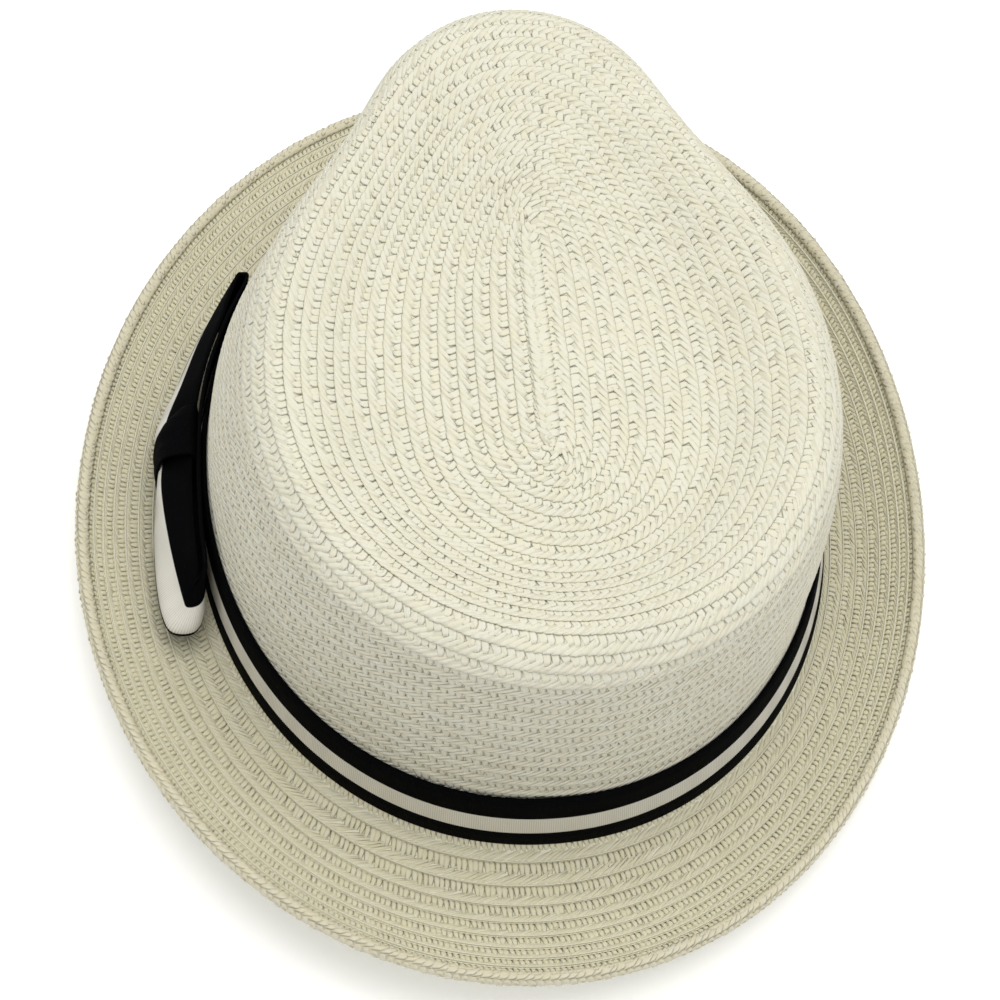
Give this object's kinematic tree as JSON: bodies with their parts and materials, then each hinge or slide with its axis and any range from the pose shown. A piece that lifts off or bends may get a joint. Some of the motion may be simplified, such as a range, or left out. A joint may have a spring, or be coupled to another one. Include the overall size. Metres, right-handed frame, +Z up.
{
  "type": "trilby",
  "caption": "Straw-braid trilby with a dented crown, pinched front, short turned-up brim, striped ribbon band and flat side bow.",
  "frame": {"origin": "centre of the box around the hat, on the flat ring of the brim's underside that it rests on", "axes": "+Z up, -Y towards the front of the hat, +X towards the wearer's left, where the bow is"},
  "size_m": [0.2328, 0.2874, 0.1061],
  "materials": {
    "straw_braid": "pale ivory paper-straw braid, sewn in overlapping rows, matt",
    "striped_ribbon": "grosgrain ribbon, black with a cream stripe along the middle",
    "black_ribbon": "plain black grosgrain ribbon"
  },
  "bodies": {
    "root": {"crown": "straw_braid", "brim": "straw_braid", "band": "striped_ribbon", "bow_loops": "striped_ribbon", "bow_knot": "black_ribbon"}
  },
  "joints": []
}
